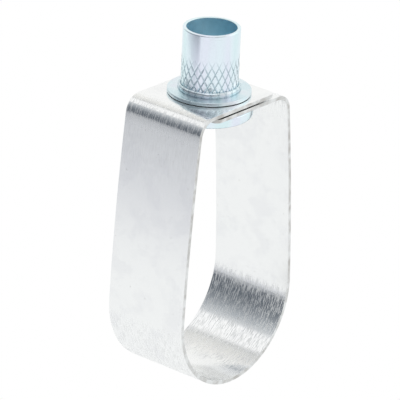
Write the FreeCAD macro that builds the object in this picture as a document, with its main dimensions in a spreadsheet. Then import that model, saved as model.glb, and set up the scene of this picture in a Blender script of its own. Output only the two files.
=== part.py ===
import FreeCAD, Part
import math
import os
import Sketcher

# Swivel loop hanger for a 1-1/4 in steel pipe on a 3/8 in rod.
# A flat strip is folded into a loop whose two ends lie one on the other at the top. An insert
# nut stands through the holes in both ends: its flange is inside the loop, and a washer that is
# pressed on the barrel rests on the loop, so that the loop hangs from the nut and swivels on it.
# Frame: origin on the nut's axis at the top of the loop, +Z up the rod, X along the folded top,
# Y along the pipe.

# Every size in mm, by the name that it has in the spreadsheet
sizes = {
    # strip
    "stripWidth": 25.4,
    "stripThickness": 1.0,
    "lapGap": 0.4,             # between the two ends at the top
    "bendRadius": 4.0,         # inside, at the top corners
    "flatHalfLength": 13.3,    # axis to the start of each corner
    "seatRadius": 21.25,       # inside of the round bottom, pipe radius and 0.17
    "seatDepth": 57.0,         # top of the loop to the pipe's axis
    "legRadius": 670.0,        # slight outward bow of the two legs
    "outerEnd": 12.0,          # axis to the end of the upper lap
    "innerEnd": 11.5,          # axis to the end of the lower lap
    "endRound": 2.0,
    "holeClearance": 0.35,
    # insert nut
    "barrelRadius": 7.6,
    "barrelHeight": 18.2,      # above the loop
    "threadRadius": 3.97,      # 3/8-16, minor diameter
    "threadLead": 0.8,         # chamfer at both ends of the thread
    "counterboreRadius": 6.65,
    "counterboreDepth": 7.0,
    "rimRound": 0.3,
    "flangeRadius": 11.8,
    "flangeThickness": 3.0,
    "flangeRound": 1.0,
    "flangeClearance": 0.65,   # under the lower lap
    # retaining washer
    "washerRadius": 11.1,
    "washerThickness": 1.0,
    "washerRound": 0.25,
    "washerClearance": 0.15,   # over the upper lap
    "hubRadius": 8.3,
    "hubHeight": 1.5,          # above the washer's disc
    "hubRound": 0.55,
    "pressClearance": 0.08,
}

# Heights and radii that follow from the sizes, as expressions on the spreadsheet
upperLapMiddle = "-Sizes.stripThickness / 2"
lowerLapTop = "-(Sizes.stripThickness + Sizes.lapGap)"
lowerLapBottom = "-(2 * Sizes.stripThickness + Sizes.lapGap)"
lowerLapMiddle = "-(1.5 * Sizes.stripThickness + Sizes.lapGap)"
bendMiddleRadius = "Sizes.bendRadius + Sizes.stripThickness / 2"
seatMiddleRadius = "Sizes.seatRadius + Sizes.stripThickness / 2"
holeRadius = "Sizes.barrelRadius + Sizes.holeClearance"
flangeTop = "-(2 * Sizes.stripThickness + Sizes.lapGap + Sizes.flangeClearance)"
flangeBottom = flangeTop + " - Sizes.flangeThickness"
counterboreFloor = "Sizes.barrelHeight - Sizes.counterboreDepth"
threadMouthRadius = "Sizes.threadRadius + Sizes.threadLead"
washerBottom = "Sizes.washerClearance"
washerTop = "Sizes.washerClearance + Sizes.washerThickness"
hubTop = washerTop + " + Sizes.hubHeight"
washerBoreRadius = "Sizes.barrelRadius + Sizes.pressClearance"

doc = FreeCAD.newDocument("LoopPipeHanger")
sheet = doc.addObject("Spreadsheet::Sheet", "Sizes")
for row, (name, size) in enumerate(sizes.items(), start=1):
    sheet.set(f"A{row}", str(size))
    sheet.setAlias(f"A{row}", name)
doc.recompute()


def value(expression):
    return float(sheet.evalExpression(expression))


def newBody(label):
    body = doc.addObject("PartDesign::Body", label)
    body.Label = label
    return body


def newSketch(body, name, plane):
    sketch = body.newObject("Sketcher::SketchObject", name)
    sketch.AttachmentSupport = [(originFeature(body, plane), "")]
    sketch.MapMode = "FlatFace"
    return sketch


def originFeature(body, role):
    return next(item for item in body.Origin.OriginFeatures if item.Role == role)


def constrain(sketch, kind, *references, size=None):
    if size is None:
        return sketch.addConstraint(Sketcher.Constraint(kind, *references))
    index = sketch.addConstraint(Sketcher.Constraint(kind, *references, value(size)))
    sketch.setExpression(f"Constraints[{index}]", size)
    return index


def placePoint(sketch, shape, end, across, up):
    constrain(sketch, "DistanceX", -1, 1, shape, end, size=across)
    constrain(sketch, "DistanceY", -1, 1, shape, end, size=up)


def closedOutline(sketch, corners):
    points = [FreeCAD.Vector(value(across), value(up), 0) for across, up in corners]
    count = len(points)
    for i in range(count):
        sketch.addGeometry(Part.LineSegment(points[i], points[(i + 1) % count]), False)
    for i in range(count):
        constrain(sketch, "Coincident", i, 2, (i + 1) % count, 1)
    for i, (across, up) in enumerate(corners):
        placePoint(sketch, i, 1, across, up)


def edgeNames(shape, wanted):
    return [f"Edge{i}" for i, edge in enumerate(shape.Edges, start=1) if wanted(edge)]


def circleAt(radius, up):
    # true for the full circle of this radius about the nut's axis at this height
    def wanted(edge):
        curve = edge.Curve
        return (
            curve.TypeId == "Part::GeomCircle"
            and abs(curve.Radius - value(radius)) < 1e-4
            and abs(curve.Center.z - value(up)) < 1e-4
        )
    return wanted


def roundEdges(body, kind, name, base, wanted, property_, size):
    doc.recompute()
    feature = body.newObject(f"PartDesign::{kind}", name)
    feature.Base = (base, edgeNames(base.Shape, wanted))
    feature.setExpression(property_, size)
    body.Tip = feature
    return feature


# Folded strip

def legCentre(bendUp):
    # centre of the right leg's arc, which touches the corner's arc and the seat's arc from inside
    seat = FreeCAD.Vector(0, -value("Sizes.seatDepth"), 0)
    bend = FreeCAD.Vector(value("Sizes.flatHalfLength"), bendUp, 0)
    toSeat = value("Sizes.legRadius") - value(seatMiddleRadius)
    toBend = value("Sizes.legRadius") - value(bendMiddleRadius)
    between = bend.sub(seat)
    along = (toSeat ** 2 - toBend ** 2 + between.Length ** 2) / (2 * between.Length)
    aside = math.sqrt(toSeat ** 2 - along ** 2)
    direction = FreeCAD.Vector(between).normalize()
    return seat.add(direction.multiply(along)).add(
        FreeCAD.Vector(-between.y, between.x, 0).normalize().multiply(aside))


def arcOf(centre, radius, start, end):
    normal = FreeCAD.Vector(0, 0, 1)
    return Part.ArcOfCircle(Part.Circle(centre, normal, radius), start, end)


def bearing(centre, point):
    return math.atan2(point.y - centre.y, point.x - centre.x)


def stripPath(body):
    # centre line: lower lap, right corner, right leg, seat, left leg, left corner, upper lap
    path = newSketch(body, "StripPath", "XZ_Plane")
    half = value("Sizes.flatHalfLength")
    seat = FreeCAD.Vector(0, -value("Sizes.seatDepth"), 0)
    bend = value(bendMiddleRadius)
    lower = value(lowerLapMiddle)
    upper = value(upperLapMiddle)
    rightBend = FreeCAD.Vector(half, lower - bend, 0)
    leftBend = FreeCAD.Vector(-half, upper - bend, 0)
    rightLeg = legCentre(rightBend.y)
    leftLeg = legCentre(leftBend.y)
    leftLeg.x = -leftLeg.x
    rightLow = bearing(rightLeg, seat)
    rightHigh = bearing(rightLeg, rightBend)
    leftLow = bearing(leftLeg, seat)
    leftHigh = bearing(leftLeg, leftBend)
    legRadius = value("Sizes.legRadius")
    turn = 2 * math.pi
    path.addGeometry([
        Part.LineSegment(FreeCAD.Vector(-value("Sizes.innerEnd"), lower, 0),
                         FreeCAD.Vector(half, lower, 0)),
        arcOf(rightBend, bend, rightHigh, math.pi / 2),
        arcOf(rightLeg, legRadius, rightLow, rightHigh),
        arcOf(seat, value(seatMiddleRadius), leftLow % turn, rightLow % turn + turn),
        arcOf(leftLeg, legRadius, leftHigh % turn, leftLow % turn),
        arcOf(leftBend, bend, math.pi / 2, leftHigh % turn),
        Part.LineSegment(FreeCAD.Vector(-half, upper, 0),
                         FreeCAD.Vector(value("Sizes.outerEnd"), upper, 0)),
    ], False)
    # each piece of the path runs smoothly into the next
    joints = ((0, 2, 1, 2), (1, 1, 2, 2), (2, 1, 3, 2), (3, 1, 4, 2), (4, 1, 5, 2), (5, 1, 6, 1))
    for joint in joints:
        constrain(path, "Tangent", *joint)
    placePoint(path, 0, 1, "-Sizes.innerEnd", lowerLapMiddle)
    placePoint(path, 6, 2, "Sizes.outerEnd", upperLapMiddle)
    for lap in (0, 6):
        constrain(path, "Horizontal", lap)
    constrain(path, "DistanceX", -1, 1, 1, 3, size="Sizes.flatHalfLength")
    constrain(path, "DistanceX", -1, 1, 5, 3, size="-Sizes.flatHalfLength")
    for corner in (1, 5):
        constrain(path, "Radius", corner, size=bendMiddleRadius)
    for leg in (2, 4):
        constrain(path, "Radius", leg, size="Sizes.legRadius")
    constrain(path, "Radius", 3, size=seatMiddleRadius)
    placePoint(path, 3, 3, "0", "-Sizes.seatDepth")
    return path


def stripSection(body):
    section = newSketch(body, "StripSection", "YZ_Plane")
    section.setExpression("AttachmentOffset.Base.z", "-Sizes.innerEnd")
    closedOutline(section, [
        ("-Sizes.stripWidth / 2", lowerLapBottom),
        ("Sizes.stripWidth / 2", lowerLapBottom),
        ("Sizes.stripWidth / 2", lowerLapTop),
        ("-Sizes.stripWidth / 2", lowerLapTop),
    ])
    return section


def makeStrip():
    body = newBody("hanger_band")
    path = stripPath(body)
    section = stripSection(body)
    doc.recompute()
    fold = body.newObject("PartDesign::AdditivePipe", "StripFold")
    fold.Profile = section
    fold.Spine = path
    body.Tip = fold

    def lapCorner(edge):
        # the upright edges at the free ends of the two laps
        straight = edge.Curve.TypeId == "Part::GeomLine"
        upright = straight and abs(edge.tangentAt(edge.FirstParameter).z) > 0.99
        ends = (value("Sizes.outerEnd"), -value("Sizes.innerEnd"))
        middle = edge.CenterOfMass
        return upright and min(abs(middle.x - end) for end in ends) < 1e-4

    corners = roundEdges(body, "Fillet", "LapCorners", fold, lapCorner, "Radius", "Sizes.endRound")
    hole = newSketch(body, "HoleOutline", "XY_Plane")
    hole.addGeometry(Part.Circle(FreeCAD.Vector(), FreeCAD.Vector(0, 0, 1), value(holeRadius)), False)
    constrain(hole, "Coincident", 0, 3, -1, 1)
    constrain(hole, "Radius", 0, size=holeRadius)
    doc.recompute()
    before = corners.Shape.Volume
    pocket = body.newObject("PartDesign::Pocket", "NutHole")
    pocket.Profile = hole
    pocket.setExpression("Length", "2 * Sizes.stripThickness + Sizes.lapGap + Sizes.bendRadius")
    body.Tip = pocket
    doc.recompute()
    if pocket.Shape.Volume >= before:
        raise RuntimeError("the hole for the nut cuts nothing")
    return body


# Insert nut

def revolve(body, name, sketch):
    doc.recompute()
    feature = body.newObject("PartDesign::Revolution", name)
    feature.Profile = sketch
    feature.ReferenceAxis = (sketch, ["V_Axis"])
    feature.Angle = 360
    body.Tip = feature
    return feature


def makeNut():
    body = newBody("insert_nut")
    outline = newSketch(body, "NutOutline", "XZ_Plane")
    closedOutline(outline, [
        (threadMouthRadius, flangeBottom),
        ("Sizes.flangeRadius", flangeBottom),
        ("Sizes.flangeRadius", flangeTop),
        ("Sizes.barrelRadius", flangeTop),
        ("Sizes.barrelRadius", "Sizes.barrelHeight"),
        ("Sizes.counterboreRadius", "Sizes.barrelHeight"),
        ("Sizes.counterboreRadius", counterboreFloor),
        (threadMouthRadius, counterboreFloor),
        ("Sizes.threadRadius", counterboreFloor + " - Sizes.threadLead"),
        ("Sizes.threadRadius", flangeBottom + " + Sizes.threadLead"),
    ])
    turned = revolve(body, "NutTurned", outline)
    flange = roundEdges(body, "Fillet", "FlangeEdge", turned,
                        circleAt("Sizes.flangeRadius", flangeBottom), "Radius", "Sizes.flangeRound")
    roundEdges(body, "Fillet", "BarrelRim", flange,
               circleAt("Sizes.barrelRadius", "Sizes.barrelHeight"), "Radius", "Sizes.rimRound")
    return body


# Retaining washer

def makeWasher():
    body = newBody("retaining_washer")
    outline = newSketch(body, "WasherOutline", "XZ_Plane")
    closedOutline(outline, [
        (washerBoreRadius, washerBottom),
        ("Sizes.washerRadius", washerBottom),
        ("Sizes.washerRadius", washerTop),
        ("Sizes.hubRadius", washerTop),
        ("Sizes.hubRadius", hubTop),
        (washerBoreRadius, hubTop),
    ])
    turned = revolve(body, "WasherTurned", outline)
    disc = roundEdges(body, "Fillet", "DiscEdge", turned,
                      circleAt("Sizes.washerRadius", washerTop), "Radius", "Sizes.washerRound")
    roundEdges(body, "Fillet", "HubEdge", disc,
               circleAt("Sizes.hubRadius", hubTop), "Radius", "Sizes.hubRound")
    return body


bodies = [makeStrip(), makeNut(), makeWasher()]
doc.recompute()

for item in doc.Objects:
    if "Invalid" in item.State or "Error" in item.State:
        raise RuntimeError(f"{item.Name} did not compute")

os.makedirs("parts", exist_ok=True)
for body in bodies:
    shape = body.Shape
    if shape.isNull() or not shape.isValid() or len(shape.Solids) != 1:
        raise RuntimeError(f"{body.Label} is not one sound solid")
    shape.exportStep(f"parts/{body.Label}.step")
    box = shape.BoundBox
    print(f"{body.Label}: {shape.Volume:.1f} mm3, z {box.ZMin:.2f} to {box.ZMax:.2f}, "
          f"{box.XLength:.2f} x {box.YLength:.2f} x {box.ZLength:.2f} mm")
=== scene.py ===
import math

import bmesh
import bpy
from mathutils import Matrix, Vector


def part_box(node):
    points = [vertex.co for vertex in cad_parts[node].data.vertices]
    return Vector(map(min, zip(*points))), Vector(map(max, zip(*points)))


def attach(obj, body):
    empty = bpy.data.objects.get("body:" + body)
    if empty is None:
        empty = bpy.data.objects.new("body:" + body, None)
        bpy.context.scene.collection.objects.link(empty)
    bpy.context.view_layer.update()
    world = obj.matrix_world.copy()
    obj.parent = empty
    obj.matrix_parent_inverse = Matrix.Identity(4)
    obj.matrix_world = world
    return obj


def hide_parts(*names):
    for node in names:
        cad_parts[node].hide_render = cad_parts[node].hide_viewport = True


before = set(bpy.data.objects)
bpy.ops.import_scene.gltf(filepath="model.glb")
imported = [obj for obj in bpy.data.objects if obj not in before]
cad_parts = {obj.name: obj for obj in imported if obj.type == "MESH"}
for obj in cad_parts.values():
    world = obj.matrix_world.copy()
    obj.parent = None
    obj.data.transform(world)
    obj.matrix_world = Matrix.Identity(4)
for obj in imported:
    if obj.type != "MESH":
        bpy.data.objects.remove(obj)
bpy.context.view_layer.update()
mm = 0.001

print("loop hanger: frame loaded")


# Shared helpers

def linear(hexColour):
    channels = [int(hexColour[i:i + 2], 16) / 255 for i in (1, 3, 5)]
    return [c / 12.92 if c <= 0.04045 else ((c + 0.055) / 1.055) ** 2.4 for c in channels] + [1.0]


def addNode(tree, kind, settings=None, links=None):
    # settings are node properties, links are input sockets: a plain value is set, a socket is linked
    node = tree.nodes.new(kind)
    for name, setting in (settings or {}).items():
        setattr(node, name, setting)
    for name, source in (links or {}).items():
        if isinstance(source, bpy.types.NodeSocket):
            tree.links.new(source, node.inputs[name])
        else:
            node.inputs[name].default_value = source
    return node


def newMaterial(name):
    material = bpy.data.materials.new(name)
    material.use_nodes = True
    material.node_tree.nodes.clear()
    return material, material.node_tree


def finishSurface(tree, links):
    surface = addNode(tree, "ShaderNodeBsdfPrincipled", links=links)
    addNode(tree, "ShaderNodeOutputMaterial", links={"Surface": surface.outputs["BSDF"]})


def setStops(ramp, stops):
    # stops are (place, hex colour); the ramp starts with two of its own
    elements = ramp.color_ramp.elements
    while len(elements) > 1:
        elements.remove(elements[-1])
    for i, (place, colour) in enumerate(stops):
        element = elements[0] if i == 0 else elements.new(place)
        element.position = place
        element.color = linear(colour)


def makeObject(name, mesh, materials, body, node):
    piece = bpy.data.objects.new(name, mesh)
    bpy.context.scene.collection.objects.link(piece)
    for material in materials:
        mesh.materials.append(material)
    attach(piece, body)
    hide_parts(node)
    return piece


# Folded strip, mill-galvanised sheet steel

strip = {
    "thickness": 1.0,
    "lapGap": 0.4,
    "bendRadius": 4.0,      # inside
    "flatHalfLength": 13.3,
    "seatRadius": 21.25,    # inside
    "seatDepth": 57.0,
    "legRadius": 670.0,
    "outerEnd": 12.0,
    "innerEnd": 11.5,
    "endRound": 2.0,
    "holeRadius": 7.95,
    "edgeRound": 0.14,      # sheared edges, lightly rolled over
    "seatSteps": 120,
    "legSteps": 30,
    "bendSteps": 16,
    "roundSteps": 7,
}
stripLow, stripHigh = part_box("hanger_band")
strip["width"] = (stripHigh.y - stripLow.y) / mm


def touchingCentre(bend, seat, toBend, toSeat):
    # centre of the leg's arc, on the left of the line from the seat to the corner
    between = bend - seat
    along = (toSeat ** 2 - toBend ** 2 + between.length_squared) / (2 * between.length)
    aside = math.sqrt(toSeat ** 2 - along ** 2)
    direction = between.normalized()
    return seat + direction * along + Vector((-direction.y, direction.x)) * aside


def arcPoints(centre, radius, start, end, steps):
    angles = [start + (end - start) * i / steps for i in range(1, steps + 1)]
    return [centre + Vector((math.cos(a), math.sin(a))) * radius for a in angles]


def stripLine():
    # centre line in the XZ plane, from the end of the lower lap round to the end of the upper lap
    thickness = strip["thickness"]
    upper = -thickness / 2
    lower = upper - thickness - strip["lapGap"]
    bend = strip["bendRadius"] + thickness / 2
    seatRadius = strip["seatRadius"] + thickness / 2
    half = strip["flatHalfLength"]
    seat = Vector((0, -strip["seatDepth"]))
    toBend = strip["legRadius"] - bend
    toSeat = strip["legRadius"] - seatRadius
    rightBend = Vector((half, lower - bend))
    leftBendMirrored = Vector((half, upper - bend))
    rightLeg = touchingCentre(rightBend, seat, toBend, toSeat)
    leftLegMirrored = touchingCentre(leftBendMirrored, seat, toBend, toSeat)

    def angleTo(centre, point):
        return math.atan2(point.y - centre.y, point.x - centre.x)

    rightHigh = angleTo(rightLeg, rightBend)
    rightLow = angleTo(rightLeg, seat)
    leftHigh = angleTo(leftLegMirrored, leftBendMirrored)
    leftLow = angleTo(leftLegMirrored, seat)
    quarter = math.pi / 2
    right = [Vector((half, lower))]
    right += arcPoints(rightBend, bend, quarter, rightHigh, strip["bendSteps"])
    right += arcPoints(rightLeg, strip["legRadius"], rightHigh, rightLow, strip["legSteps"])
    left = [Vector((half, upper))]
    left += arcPoints(leftBendMirrored, bend, quarter, leftHigh, strip["bendSteps"])
    left += arcPoints(leftLegMirrored, strip["legRadius"], leftHigh, leftLow, strip["legSteps"])
    left = [Vector((-p.x, p.y)) for p in reversed(left)]
    bottom = arcPoints(seat, seatRadius, rightLow, -math.pi - leftLow, strip["seatSteps"])[:-1]
    return lapPoints(-strip["innerEnd"], lower, 1) + right + bottom + left + \
        list(reversed(lapPoints(strip["outerEnd"], upper, -1)))


def lapPoints(end, up, inward):
    # closely spaced where the lap's corners are rounded
    steps = strip["roundSteps"]
    along = [strip["endRound"] * (1 - math.cos(math.pi / 2 * i / steps)) for i in range(steps + 1)]
    return [Vector((end + inward * step, up)) for step in along]


def halfWidthAt(fromEnd):
    radius = strip["endRound"]
    if fromEnd >= radius:
        return strip["width"] / 2
    return strip["width"] / 2 - radius + math.sqrt(radius ** 2 - (radius - fromEnd) ** 2)


def stripMesh():
    line = stripLine()
    lengths = [0.0]
    for before, after in zip(line, line[1:]):
        lengths.append(lengths[-1] + (after - before).length)
    builder = bmesh.new()
    uvLayer = builder.loops.layers.uv.new("sheet")
    rings = []
    for i, point in enumerate(line):
        before, after = line[max(i - 1, 0)], line[min(i + 1, len(line) - 1)]
        direction = (after - before).normalized()
        normal = Vector((-direction.y, direction.x)) * strip["thickness"] / 2
        half = halfWidthAt(min(lengths[i], lengths[-1] - lengths[i]))
        above, below = point + normal, point - normal
        corners = [(above, -half), (above, half), (below, half), (below, -half)]
        rings.append([builder.verts.new((p.x * mm, y * mm, p.y * mm)) for p, y in corners])
    lengthOf = {vert: lengths[i] for i, ring in enumerate(rings) for vert in ring}
    for ring, following in zip(rings, rings[1:]):
        for side in range(4):
            nextSide = (side + 1) % 4
            face = builder.faces.new((ring[side], ring[nextSide], following[nextSide], following[side]))
            face.material_index = side % 2      # the narrow sides are cut edges
    for end in (list(reversed(rings[0])), rings[-1]):
        builder.faces.new(end).material_index = 1
    for face in builder.faces:
        face.smooth = True
        for loop in face.loops:
            loop[uvLayer].uv = (lengthOf[loop.vert] / 100, loop.vert.co.y / mm / 100)
    bmesh.ops.recalc_face_normals(builder, faces=builder.faces)
    mesh = bpy.data.meshes.new("stripBlank")
    builder.to_mesh(mesh)
    builder.free()
    return mesh


def punchAndRound(mesh):
    # the nut's hole goes through both laps, then every sharp edge is rolled over
    blank = bpy.data.objects.new("stripBlank", mesh)
    bpy.context.scene.collection.objects.link(blank)
    puncher = bmesh.new()
    depth = 2 * strip["thickness"] + strip["lapGap"] + strip["bendRadius"]
    bmesh.ops.create_cone(puncher, cap_ends=True, segments=160, radius1=strip["holeRadius"] * mm,
                          radius2=strip["holeRadius"] * mm, depth=depth * mm)
    punchMesh = bpy.data.meshes.new("punch")
    puncher.to_mesh(punchMesh)
    puncher.free()
    punch = bpy.data.objects.new("punch", punchMesh)
    punch.location.z = -(strip["thickness"] + strip["lapGap"] / 2) * mm
    bpy.context.scene.collection.objects.link(punch)
    cut = blank.modifiers.new("hole", "BOOLEAN")
    cut.operation = "DIFFERENCE"
    cut.object = punch
    cut.solver = "EXACT"
    rolled = blank.modifiers.new("edges", "BEVEL")
    rolled.width = strip["edgeRound"] * mm
    rolled.segments = 3
    rolled.limit_method = "ANGLE"
    rolled.angle_limit = math.radians(50)
    rolled.harden_normals = True
    bpy.context.view_layer.update()
    evaluated = blank.evaluated_get(bpy.context.evaluated_depsgraph_get())
    done = bpy.data.meshes.new_from_object(evaluated)
    for scrap in (blank, punch):
        bpy.data.objects.remove(scrap)
    done.name = "strip"
    return done


def galvanisedSheet():
    # continuously galvanised sheet, skin-passed: bright and nearly white, with a few grey specks,
    # and with fine scratches along the strip wherever the folding tools rubbed it
    look = {
        "colour": "#f8f9f9",
        "cloud": "#f3f4f5",
        "speck": "#9a9690",
        "rolled": 0.19,          # roughness of the flat skin
        "polished": 0.08,        # where the folding tools rubbed it
        "scratched": 0.46,       # and in the fine scratches they left
        "grainWidth": 0.34,      # mm across the strip
        "grainLength": 2.8,      # mm along it
        "grainDepth": 0.003,     # mm
        "cloudSize": 7.0,        # mm
        "speckSize": 0.7,        # mm
    }
    material, tree = newMaterial("millGalvanisedSheet")
    uv = addNode(tree, "ShaderNodeUVMap", {"uv_map": "sheet"})
    stretch = (100 / look["grainLength"], 100 / look["grainWidth"], 1)
    grainPlace = addNode(tree, "ShaderNodeMapping", links={"Vector": uv.outputs["UV"], "Scale": stretch})
    grain = addNode(tree, "ShaderNodeTexNoise", links={
        "Vector": grainPlace.outputs["Vector"], "Scale": 1.0, "Detail": 3.0, "Roughness": 0.6})
    solid = addNode(tree, "ShaderNodeTexCoord")
    cloud = addNode(tree, "ShaderNodeTexNoise", links={
        "Vector": solid.outputs["Object"], "Scale": 1000 / look["cloudSize"], "Detail": 4.0,
        "Roughness": 0.6})
    cloudTone = addNode(tree, "ShaderNodeValToRGB", links={"Fac": cloud.outputs["Fac"]})
    setStops(cloudTone, [(0.38, look["cloud"]), (0.52, look["colour"])])
    speck = addNode(tree, "ShaderNodeTexNoise", links={
        "Vector": solid.outputs["Object"], "Scale": 1000 / look["speckSize"], "Detail": 2.0})
    speckTone = addNode(tree, "ShaderNodeMapRange", links={
        "Value": speck.outputs["Fac"], "From Min": 0.71, "From Max": 0.78, "To Min": 0.0, "To Max": 0.45})
    marked = addNode(tree, "ShaderNodeMix", {"data_type": "RGBA"}, {
        0: speckTone.outputs["Result"], 6: cloudTone.outputs["Color"], 7: linear(look["speck"])})
    scratches = addNode(tree, "ShaderNodeMapRange", links={
        "Value": grain.outputs["Fac"], "From Min": 0.485, "From Max": 0.545,
        "To Min": look["polished"], "To Max": look["scratched"]})
    # the bends and the seat were worked: there the surface faces neither sideways nor up or down
    facing = addNode(tree, "ShaderNodeSeparateXYZ", links={"Vector": solid.outputs["Normal"]})
    slant = addNode(tree, "ShaderNodeMath", {"operation": "MULTIPLY"}, {
        0: facing.outputs["X"], 1: facing.outputs["Z"]})
    eitherWay = addNode(tree, "ShaderNodeMath", {"operation": "ABSOLUTE"}, {0: slant.outputs["Value"]})
    worked = addNode(tree, "ShaderNodeMapRange", links={
        "Value": eitherWay.outputs["Value"], "From Min": 0.07, "From Max": 0.2, "To Min": 0.0, "To Max": 1.0})
    roughness = addNode(tree, "ShaderNodeMix", {"data_type": "FLOAT"}, {
        0: worked.outputs["Result"], 2: look["rolled"], 3: scratches.outputs["Result"]})
    bump = addNode(tree, "ShaderNodeBump", links={
        "Strength": 1.0, "Distance": look["grainDepth"] * mm, "Height": grain.outputs["Fac"]})
    finishSurface(tree, {
        "Base Color": marked.outputs[2], "Metallic": 1.0,
        "Roughness": roughness.outputs[0], "Normal": bump.outputs["Normal"]})
    return material


def shearedAndShadedEdge():
    # cut edges are bare steel where the shear tore through the coating: duller and greyer; their darker tone
    # is also painted shade, for the dark outlines along the edges and inside the gap between the laps
    look = {"colour": "#e8eaea", "dark": "#c4c3c0", "roughness": 0.4, "tearSize": 2.4}
    material, tree = newMaterial("shearedSteelEdgeWithPaintedShade")
    place = addNode(tree, "ShaderNodeTexCoord")
    tear = addNode(tree, "ShaderNodeTexNoise", links={
        "Vector": place.outputs["Object"], "Scale": 1000 / look["tearSize"], "Detail": 3.0})
    tone = addNode(tree, "ShaderNodeValToRGB", links={"Fac": tear.outputs["Fac"]})
    setStops(tone, [(0.34, look["dark"]), (0.62, look["colour"])])
    finishSurface(tree, {
        "Base Color": tone.outputs["Color"], "Metallic": 1.0, "Roughness": look["roughness"]})
    return material


band = makeObject("band", punchAndRound(stripMesh()), [galvanisedSheet(), shearedAndShadedEdge()],
                  "loop", "hanger_band")
print("loop hanger: strip folded and punched")


# Turned pieces share one way of making a mesh: a closed profile turned about the nut's axis

def turnedMesh(name, profile, steps, shape=None, materialAt=None):
    # profile is a closed list of (radius, up) in mm; shape(row, radius, up, angle) gives back the
    # radius to use there and how dark the point is painted as groove shade, 0 to 1
    builder = bmesh.new()
    # painted shade: each vertex keeps how dark it is painted in the knurl grooves and the crevice
    grooveShadeLayer = builder.verts.layers.float.new("grooveShade")
    columns = []
    for step in range(steps):
        angle = 2 * math.pi * step / steps
        column = []
        for row, (radius, up) in enumerate(profile):
            grooveShade = 0.0
            if shape:
                radius, grooveShade = shape(row, radius, up, angle)
            across, along = radius * math.cos(angle), radius * math.sin(angle)
            vert = builder.verts.new((across * mm, along * mm, up * mm))
            vert[grooveShadeLayer] = grooveShade
            column.append(vert)
        columns.append(column)
    count = len(profile)
    for step in range(steps):
        here, there = columns[step], columns[(step + 1) % steps]
        for row in range(count):
            after = (row + 1) % count
            face = builder.faces.new((here[row], there[row], there[after], here[after]))
            face.smooth = True
            if materialAt:
                face.material_index = materialAt(row)
    bmesh.ops.recalc_face_normals(builder, faces=builder.faces)
    mesh = bpy.data.meshes.new(name)
    builder.to_mesh(mesh)
    builder.free()
    return mesh


def roundedCorner(corner, start, end, radius, steps=5):
    # corner of a profile cut back by radius towards its neighbours and rounded between
    corner, start, end = Vector(corner), Vector(start), Vector(end)
    first = corner + (start - corner).normalized() * radius
    last = corner + (end - corner).normalized() * radius
    centre = first + last - corner
    arc = []
    for i in range(steps + 1):
        turn = math.pi / 2 * i / steps
        point = centre + (first - centre) * math.cos(turn) + (last - centre) * math.sin(turn)
        arc.append((point.x, point.y))
    return arc


def roundedProfile(corners):
    # corners are (radius, up, rounding)
    profile = []
    for i, (radius, up, rounding) in enumerate(corners):
        if rounding:
            before, after = corners[i - 1], corners[(i + 1) % len(corners)]
            profile += roundedCorner((radius, up), before[:2], after[:2], rounding)
        else:
            profile.append((radius, up))
    return profile


# Insert nut, zinc plated with a clear blue passivate

nut = {
    "barrelRadius": 7.6,
    "wall": 0.95,
    "rimRound": 0.3,
    "counterboreDepth": 7.0,
    "threadMinor": 3.97,       # 3/8-16
    "threadMajor": 4.76,
    "threadPitch": 1.5875,
    "threadLead": 0.8,
    "threadRowsPerTurn": 8,
    "flangeRadius": 11.8,
    "flangeThickness": 3.0,
    "flangeRound": 1.0,
    "flangeTopRound": 0.6,
    "footRound": 0.15,
    "mouthRound": 0.2,
    "floorChamfer": 0.3,
    "rimInnerRound": 0.18,
    "knurlBottom": 1.5,
    "knurlTop": 11.4,
    "knurlFade": 3.0,
    "diamonds": 25,            # round the barrel
    "diamondHeight": 3.8,
    "samples": 14,             # grid steps to a diamond, both ways
    "grooveWidth": 0.11,       # share of a diamond, each side of the groove's middle
    "grooveDepth": 0.2,
}
nutLow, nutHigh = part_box("insert_nut")
nutBottom, nutTop = nutLow.z / mm, nutHigh.z / mm


def nutProfile():
    # rows from the underside outward, up the barrel, over the rim and down the bore
    flangeTop = nutBottom + nut["flangeThickness"]
    barrel = nut["barrelRadius"]
    inside = barrel - nut["wall"]
    floor = nutTop - nut["counterboreDepth"]
    mouth = nut["threadMinor"] + nut["threadLead"]
    profile = roundedProfile([
        (mouth, nutBottom, nut["mouthRound"]),
        (nut["flangeRadius"], nutBottom, nut["flangeRound"]),
        (nut["flangeRadius"], flangeTop, nut["flangeTopRound"]),
        (barrel, flangeTop, nut["footRound"]),
    ])
    rowHeight = nut["diamondHeight"] / nut["samples"]
    rows = round((nut["knurlTop"] - nut["knurlBottom"]) / rowHeight)
    profile += [(barrel, nut["knurlBottom"] + rowHeight * i) for i in range(rows + 1)]
    profile += rimPoints(barrel, inside)
    boreStart = len(profile)
    chamfer = nut["floorChamfer"]
    profile += [(inside, floor + chamfer), (inside - chamfer, floor), (mouth, floor)]
    threadHigh = floor - nut["threadLead"]
    threadLow = nutBottom + nut["threadLead"]
    threadRows = round((threadHigh - threadLow) / nut["threadPitch"] * nut["threadRowsPerTurn"])
    threadStart = len(profile)
    for i in range(threadRows + 1):
        profile.append((nut["threadMinor"], threadHigh + (threadLow - threadHigh) * i / threadRows))
    return profile, boreStart, threadStart


def rimPoints(barrel, inside):
    outer = roundedCorner((barrel, nutTop), (barrel, 0), (0, nutTop), nut["rimRound"])
    inner = roundedCorner((inside, nutTop), (barrel, nutTop), (inside, 0), nut["rimInnerRound"])
    return outer + inner


def wave(phase):
    # distance from the nearest whole number, 0 to 0.5
    return abs(phase - round(phase))


def knurl(up, angle):
    # 0 on the face of a diamond, 1 at the bottom of a groove
    turn = angle / (2 * math.pi)
    lean = up / nut["diamondHeight"]
    nearest = min(wave(nut["diamonds"] * turn + lean), wave(nut["diamonds"] * turn - lean))
    fade = max(0.0, min(1.0, (nut["knurlTop"] - up) / nut["knurlFade"]))
    return max(0.0, 1 - nearest / nut["grooveWidth"]) * fade


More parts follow.
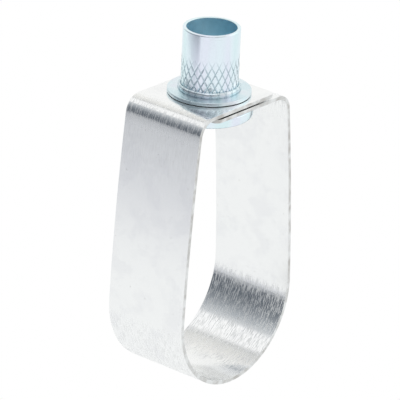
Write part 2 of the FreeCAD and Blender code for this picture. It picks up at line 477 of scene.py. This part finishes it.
def makeNut():
    profile, boreStart, threadStart = nutProfile()
    barrel = nut["barrelRadius"]

    def shape(row, radius, up, angle):
        turn = angle / (2 * math.pi)
        if row >= threadStart:
            ends = min(up - profile[-1][1], profile[threadStart][1] - up) / nut["threadPitch"]
            height = 1 - 2 * wave(up / nut["threadPitch"] - turn)
            cut = (nut["threadMajor"] - nut["threadMinor"]) * max(0.0, height) * min(1.0, ends * 2)
            return radius + cut, 0.0
        if radius == barrel and nut["knurlBottom"] <= up <= nut["knurlTop"]:
            # the knurl cuts the groove and paints it darker as shade
            grooveShade = knurl(up, angle)
            return radius - nut["grooveDepth"] * grooveShade, grooveShade
        return radius, 0.0

    mesh = turnedMesh("insertNut", profile, nut["diamonds"] * nut["samples"], shape,
                      lambda row: 1 if row >= boreStart - 1 else 0)
    return makeObject("insertNut", mesh, [blueZinc("bluePassivatedZinc", nutLook), boreZinc()],
                      "nut", "insert_nut")


# bright zinc plate keeps its sparkle, and the passivate tints it between cyan and lilac
nutLook = {
    "colour": "#e8f5fc",
    "cyan": "#e0f4f8",
    "lilac": "#e9effb",
    # painted shade in the knurl grooves and the washer's crevice
    "grooveShade": "#86a5b0",
    "roughness": 0.18,
    "tintWidth": 5.0,     # mm round the barrel
    "tintHeight": 60.0,   # mm up it
    "grainSize": 0.8,     # mm
}
washerLook = dict(nutLook, colour="#e3eff4", cyan="#d9ebf1", lilac="#e3e9f2", roughness=0.3, tintHeight=6.0)


def blueZinc(name, look):
    material, tree = newMaterial(name)
    place = addNode(tree, "ShaderNodeTexCoord")
    bands = addNode(tree, "ShaderNodeMapping", links={
        "Vector": place.outputs["Object"],
        "Scale": (1000 / look["tintWidth"], 1000 / look["tintWidth"], 1000 / look["tintHeight"])})
    tint = addNode(tree, "ShaderNodeTexNoise", links={
        "Vector": bands.outputs["Vector"], "Scale": 1.0, "Detail": 1.0})
    tintTone = addNode(tree, "ShaderNodeValToRGB", links={"Fac": tint.outputs["Fac"]})
    setStops(tintTone, [(0.3, look["lilac"]), (0.45, look["colour"]), (0.6, look["cyan"])])
    # painted shade: the knurl grooves, the washer's crevice and the hub's knurl lines are darkened towards
    # the groove colour
    grooveShade = addNode(tree, "ShaderNodeAttribute", {"attribute_name": "grooveShade"})
    darkened = addNode(tree, "ShaderNodeMix", {"data_type": "RGBA"}, {
        0: grooveShade.outputs["Fac"], 6: tintTone.outputs["Color"], 7: linear(look["grooveShade"])})
    grain = addNode(tree, "ShaderNodeTexNoise", links={
        "Vector": place.outputs["Object"], "Scale": 1000 / look["grainSize"], "Detail": 2.0})
    roughness = addNode(tree, "ShaderNodeMapRange", links={
        "Value": grain.outputs["Fac"], "From Min": 0.3, "From Max": 0.7,
        "To Min": look["roughness"] - 0.04, "To Max": look["roughness"] + 0.06})
    finishSurface(tree, {
        "Base Color": darkened.outputs[2], "Metallic": 1.0, "Roughness": roughness.outputs["Result"]})
    return material


def boreZinc():
    # the plating is thin and duller inside, so the bore looks steel blue
    look = {"colour": "#b4dae8", "deep": "#a6cfde", "patchSize": 4.0, "roughness": 0.5}
    material, tree = newMaterial("boreZinc")
    place = addNode(tree, "ShaderNodeTexCoord")
    patch = addNode(tree, "ShaderNodeTexNoise", links={
        "Vector": place.outputs["Object"], "Scale": 1000 / look["patchSize"], "Detail": 2.0})
    tone = addNode(tree, "ShaderNodeValToRGB", links={"Fac": patch.outputs["Fac"]})
    setStops(tone, [(0.35, look["deep"]), (0.65, look["colour"])])
    finishSurface(tree, {
        "Base Color": tone.outputs["Color"], "Metallic": 1.0, "Roughness": look["roughness"]})
    return material


insertNut = makeNut()
print("loop hanger: nut knurled and threaded")


# Retaining washer, pressed and zinc plated

washer = {
    "bore": 7.68,
    "radius": 11.1,
    "thickness": 1.0,
    "edgeRound": 0.25,
    "hubRadius": 8.3,
    "hubSteps": 12,
    "hubStart": -40.0,        # degrees of the bulge, from its underside
    "hubSweep": 130.0,        # to its top
    "hubMiddle": 0.42,        # share of the hub's height
    "creviceOut": 0.15,
    "creviceIn": 0.12,
    "creviceLift": 0.05,
    "cornerRound": 0.1,
}
washerLow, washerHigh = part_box("retaining_washer")


def makeWasher():
    low, high = washerLow.z / mm, washerHigh.z / mm
    top = low + washer["thickness"]
    height = high - top
    profile = roundedProfile([
        (washer["bore"], low, washer["cornerRound"]),
        (washer["radius"], low, washer["cornerRound"]),
        (washer["radius"], top, washer["edgeRound"]),
    ])
    # the hub bulges over a crevice where it meets the disc, and the crevice is painted dark as shade
    hubStart = len(profile)
    profile.append((washer["hubRadius"] + washer["creviceOut"], top))
    profile.append((washer["hubRadius"] - washer["creviceIn"], top + washer["creviceLift"]))
    steps = washer["hubSteps"]
    bulge = washer["hubRadius"] - washer["bore"]
    middle = washer["hubMiddle"]
    for i in range(steps + 1):
        turn = math.radians(washer["hubStart"] + washer["hubSweep"] * i / steps)
        rise = middle + (1 - middle) * math.sin(turn)
        profile.append((washer["bore"] + bulge * math.cos(turn), top + height * rise))

    # painted shade: the crevice row is painted fully dark, and the hub gets knurl lines painted as shade
    # only, with no grooves cut into it
    def shape(row, radius, up, angle):
        if row < hubStart + 2:
            return radius, 1.0 if row == hubStart + 1 else 0.0
        return radius, 0.7 * knurl(up, angle)

    mesh = turnedMesh("retainingWasher", profile, nut["diamonds"] * nut["samples"], shape)
    return makeObject("retainingWasher", mesh, [blueZinc("passivatedWasherZinc", washerLook)], "nut",
                      "retaining_washer")


retainingWasher = makeWasher()
print("loop hanger: washer pressed")


# Camera, from the fit of the loop's outline to the photograph

camera = {
    "place": (-754.19, -623.01, 385.48),   # mm
    "forward": (0.70873, 0.58681, -0.39160),
    "right": (0.65051, -0.75839, 0.04087),
    "focal": 362.2,
    "sensor": 36.0,
}


def makeCamera():
    data = bpy.data.cameras.new("camera")
    data.lens = camera["focal"]
    data.sensor_width = camera["sensor"]
    data.clip_start = 0.05
    data.clip_end = 50
    holder = bpy.data.objects.new("camera", data)
    bpy.context.scene.collection.objects.link(holder)
    back = -Vector(camera["forward"]).normalized()
    right = Vector(camera["right"]).normalized()
    up = back.cross(right)
    turn = Matrix((right, up, back)).transposed()
    holder.matrix_world = Matrix.Translation(Vector(camera["place"]) * mm) @ turn.to_4x4()
    bpy.context.scene.camera = holder


makeCamera()
bpy.context.scene.view_settings.view_transform = "Standard"


# White sweep: the floor and the surroundings are white to the eye and in the metal

studio = {
    "floorDrop": 30.0,       # mm under the loop
    "floorSize": 6000.0,     # mm
    "ambient": 0.9,
    "edgeStart": -175.0,     # mm, where the table's far left corner starts to darken in the metal
    "edgeEnd": -560.0,       # mm
    "cornerStart": 0.0,      # mm, the same towards the back
    "cornerEnd": 90.0,       # mm
    "keyPlace": (-500, -350, 600),   # mm
    "keySize": 500,
    "keyPower": 0.5,
    "fillPlace": (500, -400, 300),
    "fillSize": 600,
    "fillPower": 0.3,
    "lampAim": (0, 0, -30),
}


def makeFloor():
    mesh = bpy.data.meshes.new("floor")
    half = studio["floorSize"] / 2 * mm
    up = stripLow.z - studio["floorDrop"] * mm
    mesh.from_pydata([(-half, -half, up), (half, -half, up), (half, half, up), (-half, half, up)],
                     [], [(0, 1, 2, 3)])
    floor = bpy.data.objects.new("floor", mesh)
    bpy.context.scene.collection.objects.link(floor)
    material, tree = newMaterial("whiteFloor")
    rays = addNode(tree, "ShaderNodeLightPath")
    place = addNode(tree, "ShaderNodeTexCoord")
    spot = addNode(tree, "ShaderNodeSeparateXYZ", links={"Vector": place.outputs["Object"]})
    left = addNode(tree, "ShaderNodeMapRange", links={
        "Value": spot.outputs["X"], "From Min": studio["edgeStart"] * mm,
        "From Max": studio["edgeEnd"] * mm, "To Min": 0.0, "To Max": 1.0})
    behind = addNode(tree, "ShaderNodeMapRange", links={
        "Value": spot.outputs["Y"], "From Min": studio["cornerStart"] * mm,
        "From Max": studio["cornerEnd"] * mm, "To Min": 0.0, "To Max": 1.0})
    corner = addNode(tree, "ShaderNodeMath", {"operation": "MULTIPLY"}, {
        0: left.outputs["Result"], 1: behind.outputs["Result"]})
    inMetal = addNode(tree, "ShaderNodeValToRGB", links={"Fac": corner.outputs["Value"]})
    setStops(inMetal, [(0.0, "#f9fafa"), (0.1, "#f2f3f4"), (0.2, "#e0e1e6"),
                       (0.5, "#d6d8dc"), (1.0, "#a4a7ac")])
    paint = addNode(tree, "ShaderNodeBsdfDiffuse", links={"Color": linear("#f4f4f4")})
    gloss = addNode(tree, "ShaderNodeEmission", links={"Color": inMetal.outputs["Color"], "Strength": 1.0})
    white = addNode(tree, "ShaderNodeEmission", links={"Color": linear("#ffffff"), "Strength": 1.0})
    first = addNode(tree, "ShaderNodeMixShader", links={
        0: rays.outputs["Is Glossy Ray"], 1: paint.outputs["BSDF"], 2: gloss.outputs["Emission"]})
    second = addNode(tree, "ShaderNodeMixShader", links={
        0: rays.outputs["Is Camera Ray"], 1: first.outputs["Shader"], 2: white.outputs["Emission"]})
    addNode(tree, "ShaderNodeOutputMaterial", links={"Surface": second.outputs["Shader"]})
    mesh.materials.append(material)


def makeWorld():
    world = bpy.data.worlds.new("studio")
    bpy.context.scene.world = world
    world.use_nodes = True
    tree = world.node_tree
    tree.nodes.clear()
    rays = addNode(tree, "ShaderNodeLightPath")
    room = addNode(tree, "ShaderNodeBackground", links={
        "Color": linear("#ffffff"), "Strength": studio["ambient"]})
    seenWhite = addNode(tree, "ShaderNodeBackground", links={"Color": linear("#ffffff"), "Strength": 1.0})
    place = addNode(tree, "ShaderNodeTexCoord")
    parts = addNode(tree, "ShaderNodeSeparateXYZ", links={"Vector": place.outputs["Generated"]})
    flipped = addNode(tree, "ShaderNodeMath", {"operation": "MULTIPLY"}, {0: parts.outputs["X"], 1: -1.0})
    bearing = addNode(tree, "ShaderNodeMath", {"operation": "ARCTAN2"}, {
        0: parts.outputs["Z"], 1: flipped.outputs["Value"]})
    share = addNode(tree, "ShaderNodeMapRange", links={
        "Value": bearing.outputs["Value"], "From Min": 0.0, "From Max": math.pi,
        "To Min": 0.0, "To Max": 1.0})
    # the flags of the studio, from the left horizon over the top to the right horizon
    flags = addNode(tree, "ShaderNodeValToRGB", links={"Fac": share.outputs["Result"]})
    setStops(flags, [(0.0, "#6a6f76"), (0.05, "#666c74"), (0.12, "#71777e"), (0.19, "#93989e"),
                     (0.25, "#b0b5ba"), (0.3, "#cdd0d3"), (0.33, "#ffffff"), (0.46, "#ffffff"),
                     (0.495, "#c9caca"), (0.53, "#dcdcd9"), (0.62, "#efeeeb"), (0.7, "#fafaf8"),
                     (1.0, "#ffffff")])
    inMetal = addNode(tree, "ShaderNodeBackground", links={"Color": flags.outputs["Color"], "Strength": 1.0})
    first = addNode(tree, "ShaderNodeMixShader", links={
        0: rays.outputs["Is Glossy Ray"], 1: room.outputs["Background"], 2: inMetal.outputs["Background"]})
    second = addNode(tree, "ShaderNodeMixShader", links={
        0: rays.outputs["Is Camera Ray"], 1: first.outputs["Shader"], 2: seenWhite.outputs["Background"]})
    addNode(tree, "ShaderNodeOutputWorld", links={"Surface": second.outputs["Shader"]})


def addLamp(name, place, size, power):
    data = bpy.data.lights.new(name, "AREA")
    data.size = size * mm
    data.energy = power
    lamp = bpy.data.objects.new(name, data)
    bpy.context.scene.collection.objects.link(lamp)
    lamp.location = Vector(place) * mm
    aim = Vector(studio["lampAim"]) * mm - lamp.location
    lamp.rotation_mode = "QUATERNION"
    lamp.rotation_quaternion = aim.to_track_quat("-Z", "Y")


makeFloor()
makeWorld()
addLamp("keyLamp", studio["keyPlace"], studio["keySize"], studio["keyPower"])
addLamp("fillLamp", studio["fillPlace"], studio["fillSize"], studio["fillPower"])
print("loop hanger: studio set")
